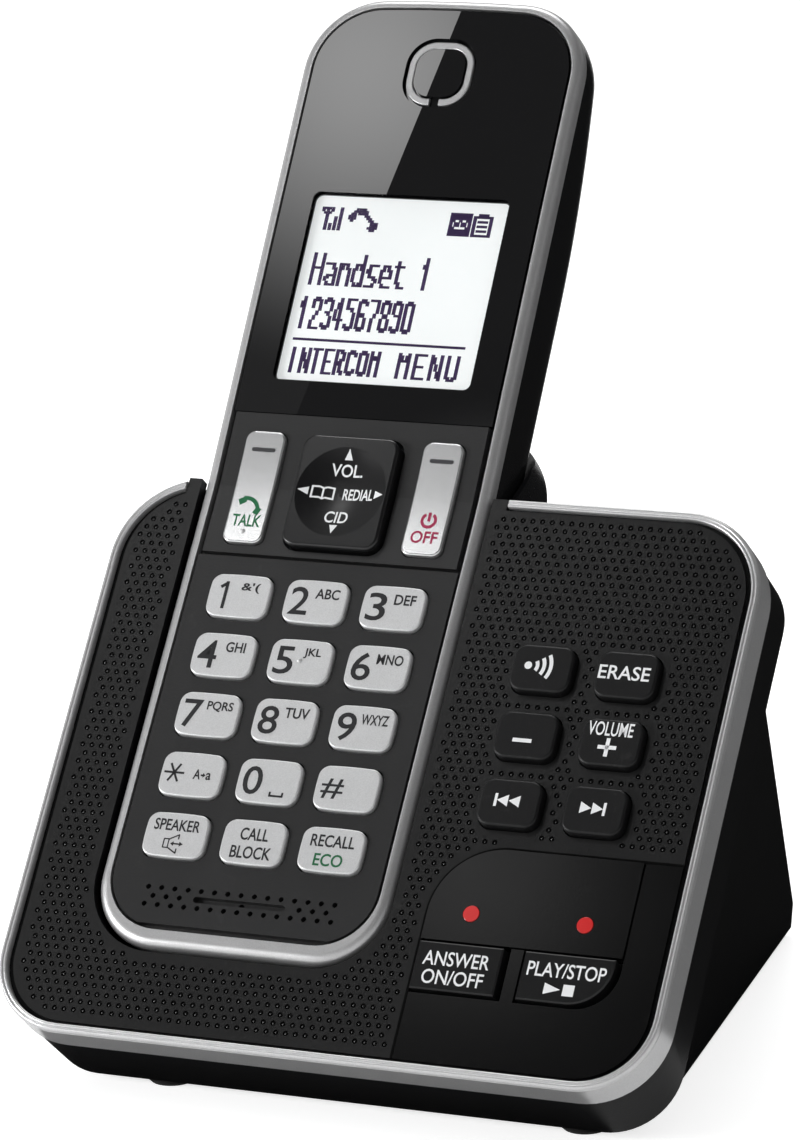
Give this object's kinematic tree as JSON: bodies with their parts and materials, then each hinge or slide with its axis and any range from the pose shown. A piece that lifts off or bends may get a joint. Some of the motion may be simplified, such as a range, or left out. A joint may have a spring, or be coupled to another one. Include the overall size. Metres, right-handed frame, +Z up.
{
  "type": "answering machine",
  "caption": "Answering machine with a leaning dotted face, message keys, and a cordless handset resting in its cradle.",
  "frame": {"origin": "on the desk, under the middle of the object's width and depth", "axes": "+Z up from the desk, +Y from the face towards the back, +X to the right as seen from the front"},
  "size_m": [0.109, 0.1178, 0.1529],
  "materials": {
    "black": "fine satin black moulding",
    "dots": "satin black with a pattern of small dimples",
    "gloss": "polished black",
    "silver": "silver paint on plastic",
    "silver_key": "fine silver paint",
    "rubber": "matt black rubber",
    "mat": "grey silicone",
    "board": "green board",
    "contact": "gold plating",
    "steel": "zinc plated steel",
    "display": "lit display",
    "cell": "plain sleeve",
    "light": "clear red",
    "component": "moulded part"
  },
  "bodies": {
    "base": {"rear_housing": "black", "bottom_cover": "black", "front_cover": "dots", "trim_rim": "silver", "cradle_tray": "black", "control_panel": "gloss", "indicator_panel": "gloss", "indicator_lights": "light", "base_key_mat": "mat", "base_board": "board", "base_speaker": "component", "line_jack": "component", "power_jack": "component", "rubber_feet": "rubber", "base_screws": "steel"},
    "handset": {"handset_back_case": "black", "battery_cover": "black", "handset_band": "silver", "handset_front_case": "black", "function_panel": "black", "display_lens": "gloss", "display_module": "display", "receiver_ring": "silver", "receiver_capsule": "component", "microphone": "component", "ringer": "component", "battery_cells": "cell", "handset_contacts": "contact", "handset_board": "board", "handset_key_mat": "mat", "handset_screws": "steel"},
    "key_1": {"key_1": "silver_key"},
    "key_2": {"key_2": "silver_key"},
    "key_3": {"key_3": "silver_key"},
    "key_4": {"key_4": "silver_key"},
    "key_5": {"key_5": "silver_key"},
    "key_6": {"key_6": "silver_key"},
    "key_7": {"key_7": "silver_key"},
    "key_8": {"key_8": "silver_key"},
    "key_9": {"key_9": "silver_key"},
    "key_star": {"key_star": "silver_key"},
    "key_0": {"key_0": "silver_key"},
    "key_hash": {"key_hash": "silver_key"},
    "speaker_key": {"speaker_key": "silver_key"},
    "block_key": {"block_key": "silver_key"},
    "recall_key": {"recall_key": "silver_key"},
    "talk_key": {"talk_key": "silver_key"},
    "off_key": {"off_key": "silver_key"},
    "locator_key": {"locator_key": "rubber"},
    "erase_key": {"erase_key": "rubber"},
    "volume_down_key": {"volume_down_key": "rubber"},
    "volume_up_key": {"volume_up_key": "rubber"},
    "skip_back_key": {"skip_back_key": "rubber"},
    "skip_forward_key": {"skip_forward_key": "rubber"},
    "answer_key": {"answer_key": "black"},
    "play_stop_key": {"play_stop_key": "black"},
    "charge_pin_left": {"charge_pin_left": "contact"},
    "charge_pin_right": {"charge_pin_right": "contact"},
    "navigator_pivot": {"navigator_pivot": "steel"},
    "navigator_key": {"navigator_key": "gloss"}
  },
  "joints": [
    {"name": "handset_lift", "type": "slide", "parent": "base", "child": "handset", "axis": [0, 0.6428, 0.766], "range_m": [0, 0.105]},
    {"name": "key_1_press", "type": "slide", "parent": "handset", "child": "key_1", "axis": [0, 0.766, -0.6428], "range_m": [0, 0.0005], "stiffness_N_per_m": 350, "springref_m": -0.0003},
    {"name": "key_2_press", "type": "slide", "parent": "handset", "child": "key_2", "axis": [0, 0.766, -0.6428], "range_m": [0, 0.0005], "stiffness_N_per_m": 350, "springref_m": -0.0003},
    {"name": "key_3_press", "type": "slide", "parent": "handset", "child": "key_3", "axis": [0, 0.766, -0.6428], "range_m": [0, 0.0005], "stiffness_N_per_m": 350, "springref_m": -0.0003},
    {"name": "key_4_press", "type": "slide", "parent": "handset", "child": "key_4", "axis": [0, 0.766, -0.6428], "range_m": [0, 0.0005], "stiffness_N_per_m": 350, "springref_m": -0.0003},
    {"name": "key_5_press", "type": "slide", "parent": "handset", "child": "key_5", "axis": [0, 0.766, -0.6428], "range_m": [0, 0.0005], "stiffness_N_per_m": 350, "springref_m": -0.0003},
    {"name": "key_6_press", "type": "slide", "parent": "handset", "child": "key_6", "axis": [0, 0.766, -0.6428], "range_m": [0, 0.0005], "stiffness_N_per_m": 350, "springref_m": -0.0003},
    {"name": "key_7_press", "type": "slide", "parent": "handset", "child": "key_7", "axis": [0, 0.766, -0.6428], "range_m": [0, 0.0005], "stiffness_N_per_m": 350, "springref_m": -0.0003},
    {"name": "key_8_press", "type": "slide", "parent": "handset", "child": "key_8", "axis": [0, 0.766, -0.6428], "range_m": [0, 0.0005], "stiffness_N_per_m": 350, "springref_m": -0.0003},
    {"name": "key_9_press", "type": "slide", "parent": "handset", "child": "key_9", "axis": [0, 0.766, -0.6428], "range_m": [0, 0.0005], "stiffness_N_per_m": 350, "springref_m": -0.0003},
    {"name": "key_star_press", "type": "slide", "parent": "handset", "child": "key_star", "axis": [0, 0.766, -0.6428], "range_m": [0, 0.0005], "stiffness_N_per_m": 350, "springref_m": -0.0003},
    {"name": "key_0_press", "type": "slide", "parent": "handset", "child": "key_0", "axis": [0, 0.766, -0.6428], "range_m": [0, 0.0005], "stiffness_N_per_m": 350, "springref_m": -0.0003},
    {"name": "key_hash_press", "type": "slide", "parent": "handset", "child": "key_hash", "axis": [0, 0.766, -0.6428], "range_m": [0, 0.0005], "stiffness_N_per_m": 350, "springref_m": -0.0003},
    {"name": "speaker_key_press", "type": "slide", "parent": "handset", "child": "speaker_key", "axis": [0, 0.766, -0.6428], "range_m": [0, 0.0005], "stiffness_N_per_m": 350, "springref_m": -0.0003},
    {"name": "block_key_press", "type": "slide", "parent": "handset", "child": "block_key", "axis": [0, 0.766, -0.6428], "range_m": [0, 0.0005], "stiffness_N_per_m": 350, "springref_m": -0.0003},
    {"name": "recall_key_press", "type": "slide", "parent": "handset", "child": "recall_key", "axis": [0, 0.766, -0.6428], "range_m": [0, 0.0005], "stiffness_N_per_m": 350, "springref_m": -0.0003},
    {"name": "talk_key_press", "type": "slide", "parent": "handset", "child": "talk_key", "axis": [0, 0.7885, -0.615], "range_m": [0, 0.0004], "stiffness_N_per_m": 350, "springref_m": -0.0003},
    {"name": "off_key_press", "type": "slide", "parent": "handset", "child": "off_key", "axis": [0, 0.7885, -0.615], "range_m": [0, 0.0004], "stiffness_N_per_m": 350, "springref_m": -0.0003},
    {"name": "locator_key_press", "type": "slide", "parent": "base", "child": "locator_key", "axis": [0, 0.766, -0.6428], "range_m": [0, 0.0008], "stiffness_N_per_m": 350, "springref_m": -0.0003},
    {"name": "erase_key_press", "type": "slide", "parent": "base", "child": "erase_key", "axis": [0, 0.766, -0.6428], "range_m": [0, 0.0008], "stiffness_N_per_m": 350, "springref_m": -0.0003},
    {"name": "volume_down_key_press", "type": "slide", "parent": "base", "child": "volume_down_key", "axis": [0, 0.766, -0.6428], "range_m": [0, 0.0008], "stiffness_N_per_m": 350, "springref_m": -0.0003},
    {"name": "volume_up_key_press", "type": "slide", "parent": "base", "child": "volume_up_key", "axis": [0, 0.766, -0.6428], "range_m": [0, 0.0008], "stiffness_N_per_m": 350, "springref_m": -0.0003},
    {"name": "skip_back_key_press", "type": "slide", "parent": "base", "child": "skip_back_key", "axis": [0, 0.766, -0.6428], "range_m": [0, 0.0008], "stiffness_N_per_m": 350, "springref_m": -0.0003},
    {"name": "skip_forward_key_press", "type": "slide", "parent": "base", "child": "skip_forward_key", "axis": [0, 0.766, -0.6428], "range_m": [0, 0.0008], "stiffness_N_per_m": 350, "springref_m": -0.0003},
    {"name": "answer_key_press", "type": "slide", "parent": "base", "child": "answer_key", "axis": [0, 0.766, -0.6428], "range_m": [0, 0.0008], "stiffness_N_per_m": 350, "springref_m": -0.0003},
    {"name": "play_stop_key_press", "type": "slide", "parent": "base", "child": "play_stop_key", "axis": [0, 0.766, -0.6428], "range_m": [0, 0.0008], "stiffness_N_per_m": 350, "springref_m": -0.0003},
    {"name": "charge_pin_left_press", "type": "slide", "parent": "base", "child": "charge_pin_left", "axis": [0, 0.766, -0.6428], "range_m": [0, 0.0012], "stiffness_N_per_m": 350, "springref_m": -0.0003},
    {"name": "charge_pin_right_press", "type": "slide", "parent": "base", "child": "charge_pin_right", "axis": [0, 0.766, -0.6428], "range_m": [0, 0.0012], "stiffness_N_per_m": 350, "springref_m": -0.0003},
    {"name": "navigator_tilt_up_down", "type": "hinge", "parent": "handset", "child": "navigator_pivot", "pos_m": [-0.01715, 0.00255, 0.08203], "axis": [1, 0, 0], "range_deg": [-2.5, 2.5], "stiffness_Nm_per_rad": 0.02},
    {"name": "navigator_tilt_left_right", "type": "hinge", "parent": "navigator_pivot", "child": "navigator_key", "pos_m": [-0.01715, 0.00255, 0.08203], "axis": [0, 0.615, 0.7885], "range_deg": [-2.5, 2.5], "stiffness_Nm_per_rad": 0.02}
  ]
}
